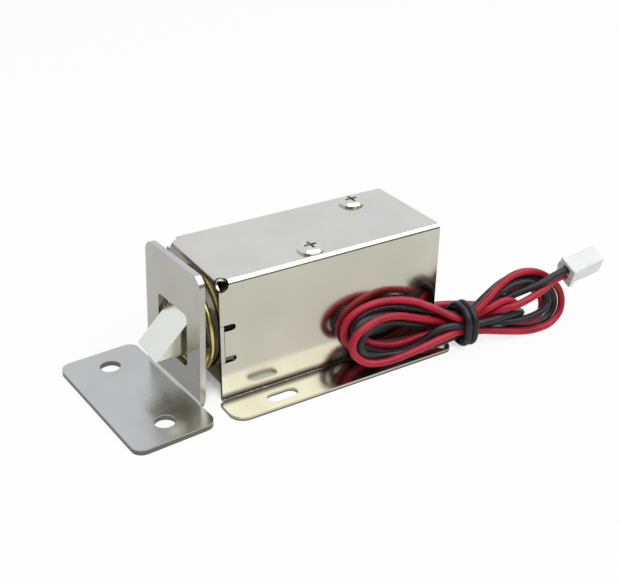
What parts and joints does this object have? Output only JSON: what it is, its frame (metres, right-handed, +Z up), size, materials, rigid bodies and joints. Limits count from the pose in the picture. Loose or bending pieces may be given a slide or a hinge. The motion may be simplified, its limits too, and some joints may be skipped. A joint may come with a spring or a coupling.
{
  "type": "solenoid lock",
  "caption": "Cabinet solenoid lock: folded steel case, spring-return latch bolt drawn back by a coil, separate strike plate and tied two-wire lead with connector.",
  "frame": {"origin": "centre of the four mounting slots, on the underside of the case's flanges", "axes": "+Z up from the mounting plane, the bolt points to -X, +X to the case's open rear end"},
  "size_m": [0.1145, 0.0457, 0.0291],
  "materials": {
    "nickel_case": "bright nickel plate",
    "yoke_steel": "nickel plated steel strip",
    "bobbin_plastic": "natural nylon",
    "copper_winding": "enamelled copper wire",
    "coil_tape": "yellow polyester tape",
    "guide_brass": "drawn brass",
    "core_steel": "turned soft iron, nickel plated",
    "bolt_nickel": "satin nickel plated zinc casting",
    "spring_steel": "spring steel",
    "yellow_spring": "yellow passivated spring wire",
    "screw_nickel": "nickel plated",
    "strike_steel": "satin nickel plated steel",
    "lead_insulation": "PVC insulation, red and black",
    "tie_black": "black PVC strand",
    "connector_nylon": "white nylon",
    "contact_tin": "tinned bronze"
  },
  "bodies": {
    "root": {"case": "nickel_case", "solenoid_yoke": "yoke_steel", "bobbin": "bobbin_plastic", "coil_winding": "copper_winding", "coil_tape": "coil_tape", "guide_tube": "guide_brass", "fixed_core": "core_steel", "return_spring": "spring_steel", "front_spring": "yellow_spring", "case_screw_front": "screw_nickel", "case_screw_rear": "screw_nickel", "strike_plate": "strike_steel", "lead_from_coil": "lead_insulation", "lead_to_connector": "lead_insulation", "cable_hank": "lead_insulation", "cable_tie": "tie_black", "connector_housing": "connector_nylon", "contact_red": "contact_tin", "contact_black": "contact_tin"},
    "bolt": {"latch_bolt": "bolt_nickel", "plunger": "core_steel", "roll_pin": "spring_steel"}
  },
  "joints": [
    {"name": "bolt_slide", "type": "slide", "parent": "root", "child": "bolt", "axis": [1, 0, 0], "range_m": [0, 0.01], "stiffness_N_per_m": 150, "springref_m": -0.006, "deforming": ["return_spring"]}
  ]
}
